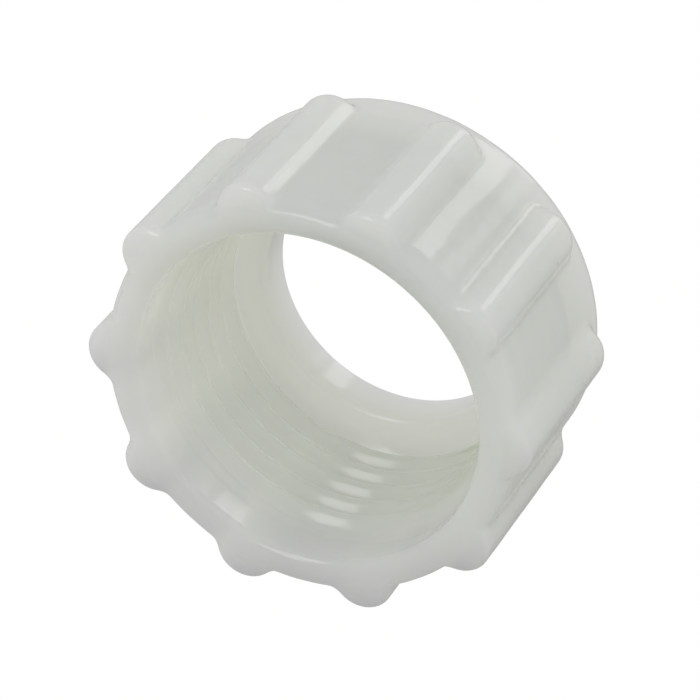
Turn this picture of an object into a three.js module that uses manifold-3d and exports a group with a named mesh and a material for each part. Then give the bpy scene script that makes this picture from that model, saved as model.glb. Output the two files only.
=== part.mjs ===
// Union nut for 3/4 inch garden-hose (3/4-11.5 NH) irrigation unions.
// One injection-moulded piece: a ribbed cup with a through-bore in its back flange,
// a seat for the union's flanged tailpiece and an internal right-hand helical thread.
// Millimetres, +Z along the nut's axis towards the open threaded end, z = 0 on the back face.
import * as THREE from 'three';
import { mergeVertices } from 'three/addons/utils/BufferGeometryUtils.js';
import Module from 'manifold-3d';

const wasm = await Module();
wasm.setup();

// ---------- driving dimensions ----------
const ROUND_STEPS = 60;          // facets round the axis, a multiple of the rib count

const HEIGHT = 19.1;             // back face to the crown of the front lip
const BODY_R_BACK = 16.28;       // body radius where the back fillet ends
const BODY_R_FRONT = 16.4;       // body radius where the lip rounding starts (mould draft)
const BACK_FILLET = 1.92;        // rounding between the body and the back face
const LIP_OUT_R = 0.95;          // outer lip rounding, measured radially
const LIP_OUT_Z = 1.75;          // outer lip rounding, measured along the axis
const LIP_LAND = 0.3;            // flat crown of the lip

const RIB_COUNT = 10;
const RIB_R = 2.41;              // radius of the rib's round section
const RIB_PROUD = 1.45;          // how far a rib stands out of the body
const RIB_BACK_Z = 2.84;
const RIB_FRONT_Z = 18.95;
const RIB_BACK_ROUND = 1.2;
const RIB_FRONT_ROUND = 0.57;

const BORE_R = 10.38;            // clearance bore for the tailpiece
const BORE_BACK_EDGE = 0.1;      // edge break on the back face
const BORE_SEAT_EDGE = 0.4;      // edge break on the seat
const FLANGE = 3.4;              // flange thickness, back face to seat
const SKIRT_R = 13.8;            // plain lead-in bore in front of the thread
const SKIRT_Z = 15.65;           // where the lead-in cone starts
const LIP_IN_Z = 1.25;           // inner lip rounding, measured along the axis

const PITCH = 25.4 / 11.5;       // 11.5 threads per inch
const CREST_R = 12.4;            // inner radius of the thread
const ROOT_R = 13.55;            // outer radius of the thread groove
const CREST_LAND = PITCH / 4;    // flat on the crest of the ridge
const FLANK = THREE.MathUtils.degToRad(30);
const CONE_Z = 14.46;            // where the lead-in cone reaches the crest
const GROOVE_PHASE_Z = 3.173;    // height of the groove's centre line over angle zero
const GROOVE_START = 18;         // degrees round the axis, at the seat
const GROOVE_FADE = 63;          // degrees over which the groove reaches full depth
const GROOVE_END = 2016;         // degrees, past the point where it leaves the lead-in cone

// ---------- helpers ----------
// Points of a quarter ellipse, from angle a0 to a1 in degrees, both ends included.
function arc(cr, cz, rr, rz, a0, a1, steps) {
  const points = [];
  for (let i = 0; i <= steps; i += 1) {
    const a = THREE.MathUtils.degToRad(a0 + ((a1 - a0) * i) / steps);
    points.push(new THREE.Vector2(cr + rr * Math.cos(a), cz + rz * Math.sin(a)));
  }
  return points;
}

const at = (r, z) => new THREE.Vector2(r, z);

// Turns a profile of (radius, height) points about the Z axis.
function turned(profile, steps) {
  const geometry = new THREE.LatheGeometry(profile, steps);
  geometry.rotateX(Math.PI / 2);
  return geometry;
}

function toSolid(geometry) {
  const bare = geometry.clone();
  bare.deleteAttribute('normal');
  bare.deleteAttribute('uv');
  const merged = mergeVertices(bare, 1e-5);
  return new wasm.Manifold(new wasm.Mesh({
    numProp: 3,
    vertProperties: Float32Array.from(merged.attributes.position.array),
    triVerts: Uint32Array.from(merged.index.array),
  }));
}

function toGeometry(solid) {
  const mesh = solid.getMesh();
  const geometry = new THREE.BufferGeometry();
  geometry.setAttribute('position', new THREE.BufferAttribute(Float32Array.from(mesh.vertProperties), 3));
  geometry.setIndex(new THREE.BufferAttribute(Uint32Array.from(mesh.triVerts), 1));
  geometry.computeVertexNormals();
  return geometry;
}

// ---------- outside of the nut ----------
function bodyBlank() {
  const profile = [
    at(0, 0),
    ...arc(BODY_R_BACK - BACK_FILLET, BACK_FILLET, BACK_FILLET, BACK_FILLET, -90, 0, 4),
    ...arc(BODY_R_FRONT - LIP_OUT_R, HEIGHT - LIP_OUT_Z, LIP_OUT_R, LIP_OUT_Z, 0, 90, 4),
    at(0, HEIGHT),
  ];
  return turned(profile, ROUND_STEPS);
}

// Shears a rib standing on +X so that it follows the body's mould draft.
function lean(geometry) {
  const position = geometry.attributes.position;
  const draft = (BODY_R_FRONT - BODY_R_BACK) / (HEIGHT - LIP_OUT_Z - BACK_FILLET);
  for (let i = 0; i < position.count; i += 1) {
    const below = HEIGHT - LIP_OUT_Z - position.getZ(i);
    position.setX(i, position.getX(i) - draft * below);
  }
}

// One grip rib: a round bar parallel to the axis with both ends rounded over.
function rib(index) {
  const profile = [
    at(0, RIB_BACK_Z),
    ...arc(RIB_R - RIB_BACK_ROUND, RIB_BACK_Z + RIB_BACK_ROUND, RIB_BACK_ROUND, RIB_BACK_ROUND, -90, 0, 3),
    ...arc(RIB_R - RIB_FRONT_ROUND, RIB_FRONT_Z - RIB_FRONT_ROUND, RIB_FRONT_ROUND, RIB_FRONT_ROUND, 0, 90, 2),
    at(0, RIB_FRONT_Z),
  ];
  const geometry = turned(profile, 18);
  geometry.translate(BODY_R_FRONT + RIB_PROUD - RIB_R, 0, 0);
  lean(geometry);
  geometry.rotateZ((index * 2 * Math.PI) / RIB_COUNT);
  return geometry;
}

// ---------- inside of the nut ----------
// Everything turned that is hollow: bore, seat, thread crest wall, lead-in cone, skirt and lip.
function cavity() {
  const lipCentreR = BODY_R_FRONT - LIP_OUT_R - LIP_LAND;
  const profile = [
    at(0, -2),
    at(BORE_R + BORE_BACK_EDGE + 2, -2),
    at(BORE_R, BORE_BACK_EDGE),
    at(BORE_R, FLANGE - BORE_SEAT_EDGE),
    at(BORE_R + BORE_SEAT_EDGE, FLANGE),
    at(CREST_R, FLANGE),
    at(CREST_R, CONE_Z),
    at(SKIRT_R, SKIRT_Z),
    ...arc(lipCentreR, HEIGHT - LIP_IN_Z, lipCentreR - SKIRT_R, LIP_IN_Z, 180, 90, 4),
    at(lipCentreR, HEIGHT + 2),
    at(0, HEIGHT + 2),
  ];
  return turned(profile, ROUND_STEPS);
}

// The helical groove between the thread ridges: a trapezoid bar wound round the axis.
// Its section is drawn with x along the axis and y as the radius, then bent onto the helix.
function groove() {
  const innerR = CREST_R - 0.4;
  const halfAt = (r) => (PITCH - CREST_LAND) / 2 - (r - CREST_R) * Math.tan(FLANK);
  const section = new THREE.Shape([
    new THREE.Vector2(-halfAt(innerR), innerR),
    new THREE.Vector2(halfAt(innerR), innerR),
    new THREE.Vector2(halfAt(ROOT_R), ROOT_R),
    new THREE.Vector2(-halfAt(ROOT_R), ROOT_R),
  ]);
  const step = 360 / ROUND_STEPS;
  const steps = Math.round((GROOVE_END - GROOVE_START) / step);
  const geometry = new THREE.ExtrudeGeometry(section, { depth: 1, steps, bevelEnabled: false });
  const position = geometry.attributes.position;
  for (let i = 0; i < position.count; i += 1) {
    const degrees = GROOVE_START + position.getZ(i) * steps * step;
    const fade = Math.min(1, 0.1 + (degrees - GROOVE_START) / GROOVE_FADE);
    const radius = innerR + (position.getY(i) - innerR) * fade;
    const angle = THREE.MathUtils.degToRad(degrees);
    const height = GROOVE_PHASE_Z + (PITCH * degrees) / 360 + position.getX(i);
    position.setXYZ(i, radius * Math.cos(angle), radius * Math.sin(angle), height);
  }
  return geometry;
}

// Space in front of the seat, so that the groove never cuts down into the flange.
function aboveSeat() {
  const profile = [
    at(0, FLANGE),
    at(ROOT_R + 1, FLANGE),
    at(ROOT_R + 1, HEIGHT + 1),
    at(0, HEIGHT + 1),
  ];
  return turned(profile, ROUND_STEPS);
}

// ---------- the piece ----------
let outside = toSolid(bodyBlank());
for (let i = 0; i < RIB_COUNT; i += 1) {
  outside = outside.add(toSolid(rib(i)));
}
const thread = toSolid(groove()).intersect(toSolid(aboveSeat()));
const hollow = toSolid(cavity()).add(thread);
const nutSolid = outside.subtract(hollow);

const plastic = new THREE.MeshStandardMaterial({ color: 0xdcdfd3, roughness: 0.38, metalness: 0 });
const nut = new THREE.Mesh(toGeometry(nutSolid), plastic);
nut.name = 'union_nut';

const group = new THREE.Group();
group.name = 'union_fitting';
group.add(nut);

export default group;
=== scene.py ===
"""Visual model of the union nut: one moulded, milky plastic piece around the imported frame."""
import math

import bpy
import numpy as np
from mathutils import Matrix, Vector


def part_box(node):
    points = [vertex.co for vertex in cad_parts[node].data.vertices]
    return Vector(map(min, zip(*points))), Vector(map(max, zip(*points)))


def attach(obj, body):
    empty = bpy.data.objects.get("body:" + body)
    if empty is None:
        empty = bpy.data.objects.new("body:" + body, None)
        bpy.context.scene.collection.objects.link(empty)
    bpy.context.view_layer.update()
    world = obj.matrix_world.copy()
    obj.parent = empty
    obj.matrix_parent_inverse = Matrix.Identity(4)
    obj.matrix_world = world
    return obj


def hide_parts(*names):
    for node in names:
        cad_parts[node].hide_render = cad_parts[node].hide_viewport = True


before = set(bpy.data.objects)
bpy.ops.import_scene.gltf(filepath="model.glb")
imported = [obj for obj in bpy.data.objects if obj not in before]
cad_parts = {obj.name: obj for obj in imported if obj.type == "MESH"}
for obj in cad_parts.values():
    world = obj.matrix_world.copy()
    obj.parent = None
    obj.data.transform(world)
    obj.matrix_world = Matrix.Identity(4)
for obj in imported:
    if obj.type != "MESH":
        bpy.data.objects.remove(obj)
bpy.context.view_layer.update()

MM = 0.001
NUT_LOW, NUT_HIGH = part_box("union_nut")

# ---------- driving dimensions, millimetres, all from the nut's own design ----------
HEIGHT = NUT_HIGH[2] / MM            # back face to the crown of the front lip
TIP_R = NUT_HIGH[0] / MM             # radius over the ribs, at the front
RIB_COUNT = 10
RIB_PROUD = 1.45                     # how far a rib stands out of the body
RIB_R = 2.41                         # radius of a rib's round section
RIB_BACK_Z = 2.84
RIB_BACK_ROUND = 1.2
RIB_FRONT_Z = HEIGHT - 0.15
RIB_FRONT_ROUND = 0.57
RIB_BLEND = 0.6                      # reach of the soft fillet between a rib and the body
RIPPLE = 0.005                       # height of the moulded surface's largest wave
BODY_R = TIP_R - RIB_PROUD           # body radius where the lip rounding starts
BODY_DRAFT = 0.12                    # how much smaller the body is at its back
BACK_FILLET = 1.92
LIP_OUT_R = 0.95                     # outer lip rounding, measured radially
LIP_OUT_Z = 1.75                     # outer lip rounding, measured along the axis
LIP_LAND = 0.3                       # flat crown of the lip
SKIRT_R = 13.8                       # plain lead-in bore in front of the thread
SKIRT_Z = 15.65                      # where the entry cone starts
SKIRT_BEND_Z = 16.3                  # from here the skirt closes in a little towards the lip
SKIRT_TOP_Z = 18.35                  # where the inner lip rounding starts
SKIRT_CLOSING = 0.07                 # how much smaller the skirt is at its top
CONE_Z = 14.46                       # where the entry cone reaches the crest
BORE_R = 10.38
BORE_BACK_EDGE = 0.15
BORE_SEAT_EDGE = 0.55
FLANGE = 3.4                         # flange thickness, back face to seat
SEAT_FILLET = 1.0                    # between the seat and the threaded wall

PITCH = 25.4 / 11.5                  # 11.5 threads per inch
CREST_R = 12.4                       # inner radius of the thread
ROOT_R = 13.55                       # outer radius of the thread groove
CREST_HALF = PITCH / 8               # half the flat on the thread's crest
FLANK_SLOPE = 1 / math.tan(math.radians(30))
CREST_ROUND = 0.6                    # reach of the rounding at the crest's corners
ROOT_ROUND = 0.85                    # reach of the rounding at the groove's bottom
SOFT_SIDE = 45.0                     # degrees round the axis, the side where the thread is softer
SOFT_CREST = 0.6                     # reach added to the crest's rounding on the soft side
SOFT_ROOT = 1.1                      # reach added to the groove's rounding on the soft side
CONE_ROUND = 0.45                    # reach of the rounding at both ends of the entry cone
GROOVE_PHASE_Z = 3.173               # height of the groove's centre line over angle zero
GROOVE_START = 18.0                  # degrees round the axis, at the seat
GROOVE_FADE = 63.0                   # degrees over which the groove reaches full depth
THREAD_TOP_Z = 16.2                  # on the skirt, above the entry cone

WALL_Z = HEIGHT - LIP_OUT_Z          # where the outer lip rounding starts
LIP_CENTRE_R = BODY_R - LIP_OUT_R    # centre of the outer lip rounding
BACK_CENTRE_R = BODY_R - BODY_DRAFT - BACK_FILLET
# (share of the largest, waves round the axis, radians per millimetre along it, phase)
RIPPLE_WAVES = [
    (1.0, 19, 0.35, 0.0),
    (0.7, 43, -0.6, 1.0),
    (1.0, 7, 1.1, 2.0),
    (0.5, -31, 2.3, 0.0),
    (0.4, 23, 4.3, 0.0),
]

# ---------- mesh rows and columns ----------
# Degrees either side of a rib's middle, closest where the rib meets the body.
RIB_COLUMNS = [1.1, 2.2, 3.3, 4.3, 5.1, 5.8, 6.4, 6.9, 7.35, 7.75, 8.15, 8.6, 9.2, 10.1, 11.2]
COLUMNS_BETWEEN = 7                  # columns on the body between two ribs
BACK_TILTS = np.linspace(-90, 0, 12)
# Heights above the back fillet, closest at the ribs' rounded back ends.
RIB_END_HEIGHTS = [0.2, 0.5, 0.75, 0.86, 0.93, 1.0, 1.08, 1.17, 1.28, 1.42, 1.6, 1.8, 2.0, 2.25]
WALL_LOW_Z = 4.6                     # lowest row above the ribs' back ends
WALL_TOP_GAP = 0.25                  # from the highest wall row to the lip rounding
WALL_ROWS = 25
# Degrees round the lip, closest at the ribs' front ends.
LIP_TILTS = [0, 6, 12, 18, 22, 25, 28, 31, 34, 37, 40, 43, 46, 50, 54, 58, 62, 66, 70, 75, 80, 85, 90]
RAY_REACH = 5.0                      # longer than any ray from the core to the surface
RAY_HALVINGS = 40
SKIRT_ROWS_Z = (18.2, 18.0, 17.8, 17.6, 17.3, 17.0, 16.7, 16.45)
LIP_IN_STEPS = 14
# Distances from the groove's middle, along the axis.
THREAD_OFFSETS = [0.1, 0.2, 0.31, 0.43, 0.55, 0.65, 0.74, 0.83, 0.92, 1.01]
LOWEST_TURN = -1                     # the groove turn just below the seat, where the rows end
ROW_GAP = 0.02                       # thread rows nearer than this to an end lie on it
SEAT_ROWS_R = (11.3, 11.2, 11.05)
SEAT_EDGE_STEPS = 6
BORE_ROWS_Z = (2.85, 2.4, 1.6, 0.8, 0.4)
BACK_EDGE_STEPS = 4
BACK_ROWS_R = (10.7, 11.2, 12.4, 13.6, 14.0)
WELD = 0.002                         # corners are joined on a grid of this step
TINY = 1e-9                          # keeps a division off zero

# ---------- material: scales in features per metre, colours linear ----------
PLASTIC_COOL = (0.842, 0.909, 0.748)
PLASTIC_WARM = (0.862, 0.900, 0.752)
CLOUD_SCALE = 140.0
CLOUD_RANGE = (0.35, 0.65)           # part of the noise that goes from cool to warm
FLOW_COLOUR = (0.80, 0.845, 0.70)
FLOW_SCALE = 900.0
FLOW_STRETCH = (1.0, 1.0, 0.12)      # flow marks run along the axis
FLOW_RANGE = (0.5, 0.8)              # part of the noise that goes from no mark to a full one
FLOW_SHARE = 0.1
SPECK_COLOUR = (0.36, 0.36, 0.28)
SPECK_CELLS = 240.0
SPECK_R = 0.035                      # in cells
SPECK_CORE = 0.6                     # share of the radius that is at full strength
SPECK_SHARE = 0.6
SPECK_EMPTY = 0.86                   # share of the cells without a speck
ROUGHNESS = (0.075, 0.12)
ROUGHNESS_SCALE = 500.0
ROUGHNESS_RANGE = (0.3, 0.7)         # part of the noise that goes from smooth to rough
INSIDE_ROUGHER = 0.01                # added inside the skirt's radius
INSIDE_FADE = 0.5                    # millimetres
PLASTIC_IOR = 1.5
SCATTER_RADIUS = (1.0, 0.98, 0.76)
SCATTER_SCALE = 0.032
BUMP_STRENGTH = 0.25
BUMP_HEIGHT = 0.03                   # millimetres
BUMP_SCALE = 400.0
NOISE_DETAIL = 3.0
FINE_DETAIL = 4.0

# ---------- light, in the nut's frame ----------
SURROUND_EVEN = 0.247
# (direction, radiance) of the broad soft lobes of the surround
SURROUND_LOBES = [
    ((1, 0, 0), 0.32),
    ((0, 1, 0), 0.355),
    ((0, -1, 0), 0.49),
    ((0, 0, 1), 0.07),
    ((0, 0, -1), 0.15),
    ((-1, 0, 0), -0.11),
]
WINDOW_DISTANCE = 600.0              # millimetres
# (name, azimuths and elevations of the edges in degrees, radiance)
WINDOWS = [
    ("window_pane", (-53, -31), (-60, -49.6), 1.45),
    ("window_side", (-67.5, -60), (-58, -49.6), 0.56),
    ("window_lower", (-78, -34), (-80, -62), 0.9),
    ("front_card", (0, 29), (38, 71), 2.65),
]

# ---------- floor and camera: degrees and millimetres ----------
FLOOR_HALF = 1500.0
FLOOR_GAP = 0.02
FLOOR_COLOUR = (1.0, 1.0, 0.995)
CAMERA_AZIMUTH = 39.404
CAMERA_ELEVATION = 50.969
CAMERA_ROLL = 139.625
CAMERA_AIM = (-0.498, 0.442, 10.0)
CAMERA_DISTANCE = 347.092
CAMERA_SENSOR = 36.0
CAMERA_LENS = 238.50442
CAMERA_NEAR = 10.0
CAMERA_FAR = 10000.0


# ---------- smooth joins of two distances ----------
def soft_min(a, b, reach):
    share = np.maximum(reach - np.abs(a - b), 0.0) / reach
    return np.minimum(a, b) - share * share * reach / 4


def soft_max(a, b, reach):
    return -soft_min(-a, -b, reach)


# ---------- columns of the mesh: angles round the axis, closer together over the ribs ----------
def mirrored(half):
    """The list, its negative and zero, in rising order."""
    return np.array([-x for x in reversed(half)] + [0.0] + half)


def column_angles():
    sector = 360 / RIB_COUNT
    rib_half = RIB_COLUMNS[-1]
    over_rib = mirrored(RIB_COLUMNS)
    between = np.linspace(rib_half, sector - rib_half, COLUMNS_BETWEEN + 2)[1:-1]
    one = np.concatenate([over_rib, between])
    angles = np.concatenate([one + sector * i for i in range(RIB_COUNT)]) + rib_half
    return np.append(angles, angles[0] + 360.0) - rib_half


# ---------- outside: rays from the core of the wall, stopped by the body and ribs ----------
def draft_at(z):
    """How much smaller the body is at this height than where the lip rounding starts."""
    return BODY_DRAFT * (WALL_Z - z) / (WALL_Z - BACK_FILLET)


def body_distance(r, z):
    """Signed distance to the body, without ribs and without its hollow."""
    wall = r - (BODY_R - draft_at(z))
    flat = np.maximum(wall, np.maximum(z - HEIGHT, -z))
    back = np.hypot(r - BACK_CENTRE_R, z - BACK_FILLET) - BACK_FILLET
    u = (r - LIP_CENTRE_R) / LIP_OUT_R
    v = (z - WALL_Z) / LIP_OUT_Z
    size = np.hypot(u, v)
    lip = size * (size - 1) / np.maximum(np.hypot(u / LIP_OUT_R, v / LIP_OUT_Z), TINY)
    in_back = (r > BACK_CENTRE_R) & (z < BACK_FILLET)
    in_lip = (r > LIP_CENTRE_R) & (z > WALL_Z)
    return np.where(in_back, back, np.where(in_lip, lip, flat))


def rib_distance(r, z, angle):
    """Signed distance to the nearest rib: a round bar along the axis with rounded ends."""
    sector = 360 / RIB_COUNT
    off = np.radians((angle + sector / 2) % sector - sector / 2)
    across = np.hypot(r * np.cos(off) - (TIP_R - RIB_R - draft_at(z)), r * np.sin(off))
    middle = (RIB_FRONT_Z + RIB_BACK_Z) / 2
    half = (RIB_FRONT_Z - RIB_BACK_Z) / 2
    corner = np.where(z < middle, RIB_BACK_ROUND, RIB_FRONT_ROUND)
    side = across - (RIB_R - corner)
    end = np.abs(z - middle) - (half - corner)
    outer = np.hypot(np.maximum(side, 0), np.maximum(end, 0))
    return outer + np.minimum(np.maximum(side, end), 0) - corner


def ripple(z, angle):
    """The faint unevenness that shrinkage leaves in the moulded surface."""
    turn = np.radians(angle)
    return RIPPLE * sum(
        share * np.sin(waves * turn + along * z + phase)
        for share, waves, along, phase in RIPPLE_WAVES
    )


def outside_distance(r, z, angle):
    smooth = soft_min(body_distance(r, z), rib_distance(r, z, angle), RIB_BLEND)
    return smooth - ripple(z, angle)


def outside_rays():
    """(start radius, start height, tilt of the ray from the radius towards +Z) for each row."""
    wall_rows = np.linspace(WALL_LOW_Z, WALL_Z - WALL_TOP_GAP, WALL_ROWS)
    rows = [(BACK_CENTRE_R, BACK_FILLET, tilt) for tilt in BACK_TILTS]
    rows += [(BACK_CENTRE_R, BACK_FILLET + height, 0.0) for height in RIB_END_HEIGHTS]
    rows += [(BACK_CENTRE_R, z, 0.0) for z in wall_rows]
    rows += [(LIP_CENTRE_R, WALL_Z, tilt) for tilt in LIP_TILTS]
    return np.array(rows, dtype=float)


def outside_rows(angles):
    """Halves each ray until its end lies on the outside."""
    rows = outside_rays()
    r0 = rows[:, 0:1]
    z0 = rows[:, 1:2]
    tilt = np.radians(rows[:, 2:3])
    angle = angles[None, :]
    near = np.zeros((len(rows), len(angles)))
    far = np.full_like(near, RAY_REACH)
    for _ in range(RAY_HALVINGS):
        middle = (near + far) / 2
        inside = outside_distance(r0 + middle * np.cos(tilt), z0 + middle * np.sin(tilt), angle) < 0
        near = np.where(inside, middle, near)
        far = np.where(inside, far, middle)
    return r0 + near * np.cos(tilt), np.clip(z0 + near * np.sin(tilt), 0.0, HEIGHT)


# ---------- inside ----------
def ring_rows(points, count):
    """Rows that are plain circles, one for each (radius, height)."""
    r = np.array([p[0] for p in points], dtype=float)[:, None]
    z = np.array([p[1] for p in points], dtype=float)[:, None]
    return np.repeat(r, count, axis=1), np.repeat(z, count, axis=1)


def quarter(cr, cz, rr, rz, a0, a1, steps):
    """Points of a quarter ellipse, from angle a0 to a1 in degrees, both ends included."""
    angles = np.radians(np.linspace(a0, a1, steps + 1))
    return [(cr + rr * math.cos(a), cz + rz * math.sin(a)) for a in angles]


def mouth_points():
    """Crown of the lip, its inner rounding and the skirt, down to the entry cone."""
    lip_r = LIP_CENTRE_R - LIP_LAND
    points = [(lip_r + LIP_LAND / 2, HEIGHT)]
    mouth_r = SKIRT_R - SKIRT_CLOSING
    points += quarter(lip_r, SKIRT_TOP_Z, lip_r - mouth_r, HEIGHT - SKIRT_TOP_Z, 90, 180, LIP_IN_STEPS)
    for z in SKIRT_ROWS_Z:
        share = max(0.0, (z - SKIRT_BEND_Z) / (SKIRT_TOP_Z - SKIRT_BEND_Z))
        points.append((SKIRT_R - SKIRT_CLOSING * share * share, z))
    return points


def thread_radius(z, turn_angle, offset):
    """Radius of the threaded wall: groove, crest and entry cone, with soft corners."""
    depth = np.clip((turn_angle - GROOVE_START) / GROOVE_FADE, 0.0, 1.0)
    depth = depth * depth * (3 - 2 * depth)
    half = PITCH / 2 - CREST_HALF
    flank = CREST_R + (half - np.abs(offset)) * FLANK_SLOPE
    soft = (0.5 + 0.5 * np.cos(np.radians(turn_angle - SOFT_SIDE))) ** 2
    wall = soft_max(flank, np.full_like(flank, CREST_R), CREST_ROUND + SOFT_CREST * soft)
    wall = soft_min(wall, np.full_like(flank, ROOT_R), ROOT_ROUND + SOFT_ROOT * soft)
    wall = CREST_R + (wall - CREST_R) * depth
    cone = CREST_R + (z - CONE_Z) * (SKIRT_R - CREST_R) / (SKIRT_Z - CONE_Z)
    wall = soft_max(wall, cone, CONE_ROUND)
    wall = soft_min(wall, np.full_like(wall, SKIRT_R), CONE_ROUND)
    low = np.clip(SEAT_FILLET - (z - FLANGE), 0.0, SEAT_FILLET)
    return wall - SEAT_FILLET + np.sqrt(SEAT_FILLET ** 2 - low ** 2)


def thread_rows(angles):
    """Rows that follow the helix, from the entry cone down to the seat."""
    offsets = mirrored(THREAD_OFFSETS)
    turns = int(math.ceil((THREAD_TOP_Z - GROOVE_PHASE_Z) / PITCH)) + 1
    radii = []
    heights = []
    for turn in range(turns, LOWEST_TURN - 1, -1):
        for offset in offsets[::-1]:
            turn_angle = angles + 360.0 * turn
            z = GROOVE_PHASE_Z + PITCH * turn_angle / 360 + offset
            z = np.where(z > THREAD_TOP_Z - ROW_GAP, THREAD_TOP_Z, z)
            z = np.where(z < FLANGE + ROW_GAP, FLANGE, z)
            shift = (z - GROOVE_PHASE_Z) / PITCH * 360 - angles
            nearest = np.round(shift / 360)
            centre_z = GROOVE_PHASE_Z + PITCH * (angles + 360 * nearest) / 360
            radii.append(thread_radius(z, angles + 360 * nearest, z - centre_z))
            heights.append(z)
    return np.array(radii), np.array(heights)


def bore_points():
    """Seat, its inner edge, the bore and the edge of the back face."""
    points = [(r, FLANGE) for r in SEAT_ROWS_R]
    edge = BORE_SEAT_EDGE
    points += quarter(BORE_R + edge, FLANGE - edge, edge, edge, 90, 180, SEAT_EDGE_STEPS)
    points += [(BORE_R, z) for z in BORE_ROWS_Z]
    edge = BORE_BACK_EDGE
    points += quarter(BORE_R + edge, edge, edge, edge, 180, 270, BACK_EDGE_STEPS)
    points += [(r, 0.0) for r in BACK_ROWS_R]
    return points


# ---------- one closed mesh from the rows ----------
def closed_mesh(name, radii, heights, angles):
    """Rows run round the wall's section and columns round the axis; equal points are joined."""
    rad = np.radians(angles)[None, :]
    points = np.stack([radii * np.cos(rad), radii * np.sin(rad), heights], axis=-1)
    rows, cols = radii.shape
    keys = np.round(points.reshape(-1, 3) / WELD).astype(np.int64)
    _, first, same = np.unique(keys, axis=0, return_index=True, return_inverse=True)
    same = same.reshape(rows, cols)
    verts = points.reshape(-1, 3)[first] * MM
    below = np.roll(same, -1, axis=0)
    quads = np.stack([same[:, :-1], same[:, 1:], below[:, 1:], below[:, :-1]], axis=-1).reshape(-1, 4)
    faces = []
    for quad in quads.tolist():
        kept = [v for i, v in enumerate(quad) if v != quad[i - 1]]
        if len(set(kept)) == len(kept) and len(kept) > 2:
            faces.append(kept)
    mesh = bpy.data.meshes.new(name)
    mesh.from_pydata(verts.tolist(), [], faces)
    mesh.validate()
    mesh.shade_smooth()
    mesh.update()
    return mesh


def nut_piece(material):
    angles = column_angles()
    count = len(angles)
    parts = [
        outside_rows(angles),
        ring_rows(mouth_points(), count),
        thread_rows(angles),
        ring_rows(bore_points(), count),
    ]
    radii = np.concatenate([p[0] for p in parts])
    heights = np.concatenate([p[1] for p in parts])
    mesh = closed_mesh("moulded_nut", radii, heights, angles)
    mesh.materials.append(material)
    piece = bpy.data.objects.new("moulded_nut", mesh)
    bpy.context.scene.collection.objects.link(piece)
    return piece


# ---------- material ----------
class Nodes:
    """A short way to add nodes and links to one node tree."""

    def __init__(self, tree):
        self.tree = tree

    def add(self, kind, **values):
        node = self.tree.nodes.new(kind)
        for name, value in values.items():
            setattr(node, name, value)
        return node

    def link(self, source, target):
        self.tree.links.new(source, target)

    def noise(self, coords, scale, detail):
        node = self.add("ShaderNodeTexNoise")
        node.inputs["Scale"].default_value = scale
        node.inputs["Detail"].default_value = detail
        self.link(coords, node.inputs["Vector"])
        return node.outputs["Fac"]

    def stretched(self, coords, scale):
        node = self.add("ShaderNodeMapping")
        node.inputs["Scale"].default_value = scale
        self.link(coords, node.inputs["Vector"])
        return node.outputs["Vector"]

    def axis_distance(self, coords):
        """Distance from the nut's axis, in metres."""
        flat = self.stretched(coords, (1.0, 1.0, 0.0))
        node = self.add("ShaderNodeVectorMath", operation="LENGTH")
        self.link(flat, node.inputs[0])
        return node.outputs["Value"]

    def above(self, value, limit):
        """1 where the value is above the limit, 0 elsewhere."""
        node = self.add("ShaderNodeMath", operation="GREATER_THAN")
        self.link(value, node.inputs[0])
        node.inputs[1].default_value = limit
        return node.outputs["Value"]

    def specks(self, coords):
        """Mask of small round specks: one in some cells of a grid, the rest of the cells stay empty."""
        cells = self.add("ShaderNodeTexVoronoi")
        cells.inputs["Scale"].default_value = SPECK_CELLS
        self.link(coords, cells.inputs["Vector"])
        spot = self.spread(cells.outputs["Distance"], SPECK_R * SPECK_CORE, SPECK_R, SPECK_SHARE, 0.0)
        chosen = self.add("ShaderNodeSeparateColor")
        self.link(cells.outputs["Color"], chosen.inputs["Color"])
        both = self.add("ShaderNodeMath", operation="MULTIPLY")
        self.link(spot, both.inputs[0])
        self.link(self.above(chosen.outputs["Red"], SPECK_EMPTY), both.inputs[1])
        return both.outputs["Value"]

    def spread(self, value, low, high, to_low, to_high):
        """Maps low..high on to to_low..to_high, and holds the ends."""
        node = self.add("ShaderNodeMapRange")
        node.inputs["From Min"].default_value = low
        node.inputs["From Max"].default_value = high
        node.inputs["To Min"].default_value = to_low
        node.inputs["To Max"].default_value = to_high
        self.link(value, node.inputs["Value"])
        return node.outputs["Result"]

    def mix(self, share, a, b):
        """Blend of two colours, each a tuple or another node's output."""
        node = self.add("ShaderNodeMix", data_type="RGBA")
        self.link(share, node.inputs["Factor"])
        colour_a = [s for s in node.inputs if s.name == "A" and s.type == "RGBA"][0]
        colour_b = [s for s in node.inputs if s.name == "B" and s.type == "RGBA"][0]
        for socket, value in ((colour_a, a), (colour_b, b)):
            if isinstance(value, tuple):
                socket.default_value = (*value, 1.0)
            else:
                self.link(value, socket)
        return [s for s in node.outputs if s.type == "RGBA"][0]


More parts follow.
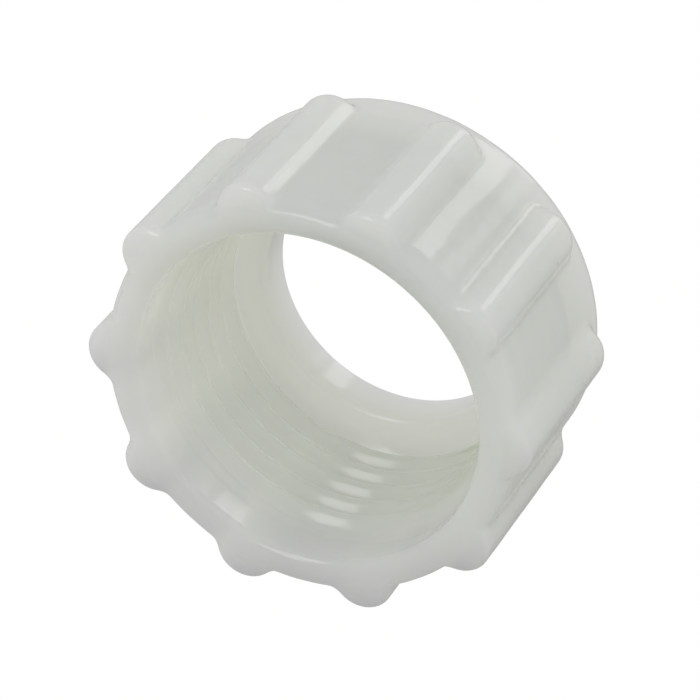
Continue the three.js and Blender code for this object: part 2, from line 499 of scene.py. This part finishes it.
def milky_plastic():
    material = bpy.data.materials.new("milky_plastic")
    material.use_nodes = True
    nodes = Nodes(material.node_tree)
    shader = material.node_tree.nodes["Principled BSDF"]
    coords = nodes.add("ShaderNodeTexCoord").outputs["Object"]

    cloud = nodes.spread(nodes.noise(coords, CLOUD_SCALE, NOISE_DETAIL), *CLOUD_RANGE, 0.0, 1.0)
    colour = nodes.mix(cloud, PLASTIC_COOL, PLASTIC_WARM)
    flow = nodes.noise(nodes.stretched(coords, FLOW_STRETCH), FLOW_SCALE, NOISE_DETAIL)
    colour = nodes.mix(nodes.spread(flow, *FLOW_RANGE, 0.0, FLOW_SHARE), colour, FLOW_COLOUR)
    colour = nodes.mix(nodes.specks(coords), colour, SPECK_COLOUR)
    nodes.link(colour, shader.inputs["Base Color"])

    uneven = nodes.noise(coords, ROUGHNESS_SCALE, FINE_DETAIL)
    gloss = nodes.spread(uneven, *ROUGHNESS_RANGE, *ROUGHNESS)
    edge = (SKIRT_R * MM, (SKIRT_R + INSIDE_FADE) * MM)
    inside = nodes.spread(nodes.axis_distance(coords), *edge, INSIDE_ROUGHER, 0.0)
    rough = nodes.add("ShaderNodeMath", operation="ADD")
    nodes.link(gloss, rough.inputs[0])
    nodes.link(inside, rough.inputs[1])
    nodes.link(rough.outputs["Value"], shader.inputs["Roughness"])

    shader.inputs["IOR"].default_value = PLASTIC_IOR
    shader.inputs["Subsurface Weight"].default_value = 1.0
    shader.inputs["Subsurface Radius"].default_value = SCATTER_RADIUS
    shader.inputs["Subsurface Scale"].default_value = SCATTER_SCALE

    bump = nodes.add("ShaderNodeBump")
    bump.inputs["Strength"].default_value = BUMP_STRENGTH
    bump.inputs["Distance"].default_value = BUMP_HEIGHT * MM
    nodes.link(nodes.noise(coords, BUMP_SCALE, NOISE_DETAIL), bump.inputs["Height"])
    nodes.link(bump.outputs["Normal"], shader.inputs["Normal"])
    return material


# ---------- floor, light and camera ----------
def emission_material(name, colour, strength):
    material = bpy.data.materials.new(name)
    material.use_nodes = True
    tree = material.node_tree
    tree.nodes.clear()
    glow = tree.nodes.new("ShaderNodeEmission")
    glow.inputs["Color"].default_value = (*colour, 1.0)
    glow.inputs["Strength"].default_value = strength
    out = tree.nodes.new("ShaderNodeOutputMaterial")
    tree.links.new(glow.outputs["Emission"], out.inputs["Surface"])
    material.cycles.emission_sampling = "NONE"
    return material


def floor():
    """Pale glowing floor; only the camera sees it, and no shadow shows on it."""
    half = FLOOR_HALF * MM
    mesh = bpy.data.meshes.new("floor")
    corners = [(-half, -half, 0), (half, -half, 0), (half, half, 0), (-half, half, 0)]
    mesh.from_pydata(corners, [], [(0, 1, 2, 3)])
    mesh.materials.append(emission_material("pale_floor", FLOOR_COLOUR, 1.0))
    plane = bpy.data.objects.new("floor", mesh)
    plane.location.z = NUT_LOW[2] - FLOOR_GAP * MM
    plane.visible_diffuse = False
    plane.visible_glossy = False
    plane.visible_transmission = False
    plane.visible_shadow = False
    bpy.context.scene.collection.objects.link(plane)


def surround():
    """An even light plus soft lobes as the nut sees it, and plain white as the camera sees it."""
    world = bpy.data.worlds.new("surround")
    world.use_nodes = True
    tree = world.node_tree
    nodes = Nodes(tree)
    direction = nodes.add("ShaderNodeTexCoord").outputs["Generated"]
    total = None
    for towards, amount in SURROUND_LOBES:
        facing = nodes.add("ShaderNodeVectorMath", operation="DOT_PRODUCT")
        nodes.link(direction, facing.inputs[0])
        facing.inputs[1].default_value = towards
        lobe = nodes.add("ShaderNodeMath", operation="MAXIMUM")
        nodes.link(facing.outputs["Value"], lobe.inputs[0])
        lobe.inputs[1].default_value = 0.0
        adding = nodes.add("ShaderNodeMath", operation="MULTIPLY_ADD")
        nodes.link(lobe.outputs["Value"], adding.inputs[0])
        adding.inputs[1].default_value = amount
        adding.inputs[2].default_value = SURROUND_EVEN
        if total is not None:
            nodes.link(total, adding.inputs[2])
        total = adding.outputs["Value"]
    seen = nodes.add("ShaderNodeLightPath").outputs["Is Camera Ray"]
    strength = nodes.add("ShaderNodeMix", data_type="FLOAT")
    nodes.link(seen, strength.inputs["Factor"])
    nodes.link(total, strength.inputs["A"])
    strength.inputs["B"].default_value = 1.0
    back = tree.nodes["Background"]
    back.inputs["Color"].default_value = (1.0, 1.0, 1.0, 1.0)
    nodes.link(strength.outputs["Result"], back.inputs["Strength"])
    bpy.context.scene.world = world


def window(name, azimuths, elevations, radiance):
    """A rectangular light that faces the nut, given by the directions of its edges."""
    azimuth = math.radians(sum(azimuths) / 2)
    elevation = math.radians(sum(elevations) / 2)
    level = math.cos(elevation)
    half_wide = math.radians(azimuths[1] - azimuths[0]) / 2 * level
    half_high = math.radians(elevations[1] - elevations[0]) / 2

    data = bpy.data.lights.new(name, "AREA")
    data.shape = "RECTANGLE"
    data.size = 2 * WINDOW_DISTANCE * math.tan(half_wide) * MM
    data.size_y = 2 * WINDOW_DISTANCE * math.tan(half_high) * MM
    data.energy = radiance * math.pi * data.size * data.size_y

    towards = Vector((level * math.cos(azimuth), level * math.sin(azimuth), math.sin(elevation)))
    short_side = Vector((-math.sin(azimuth), math.cos(azimuth), 0))
    long_side = towards.cross(short_side)
    turn = Matrix((short_side, long_side, towards)).transposed()
    centre = Vector((0, 0, HEIGHT * MM / 2))
    lamp = bpy.data.objects.new(name, data)
    lamp.matrix_world = Matrix.Translation(centre + towards * WINDOW_DISTANCE * MM) @ turn.to_4x4()
    lamp.visible_camera = False
    bpy.context.scene.collection.objects.link(lamp)


def lights():
    surround()
    for name, azimuths, elevations, radiance in WINDOWS:
        window(name, azimuths, elevations, radiance)


def camera():
    """Looks down on the nut from its open side, rolled so that the nut seems to lie on its ribs."""
    azimuth = math.radians(CAMERA_AZIMUTH)
    elevation = math.radians(CAMERA_ELEVATION)
    roll = math.radians(CAMERA_ROLL)
    aim = Vector(CAMERA_AIM) * MM
    distance = CAMERA_DISTANCE * MM
    level = math.cos(elevation)
    back = Vector((math.sin(azimuth) * level, -math.cos(azimuth) * level, math.sin(elevation)))
    right = Vector((math.cos(azimuth), math.sin(azimuth), 0))
    up = back.cross(right)
    up = up * math.cos(roll) + right * math.sin(roll)
    right = up.cross(back)
    data = bpy.data.cameras.new("camera")
    data.sensor_width = CAMERA_SENSOR
    data.lens = CAMERA_LENS
    data.clip_start = CAMERA_NEAR * MM
    data.clip_end = CAMERA_FAR * MM
    view = bpy.data.objects.new("camera", data)
    turn = Matrix((right, up, back)).transposed()
    view.matrix_world = Matrix.Translation(aim + back * distance) @ turn.to_4x4()
    bpy.context.scene.collection.objects.link(view)
    bpy.context.scene.camera = view
    bpy.context.scene.view_settings.view_transform = "Standard"


camera()
floor()
lights()
nut = nut_piece(milky_plastic())
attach(nut, "root")
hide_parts("union_nut")
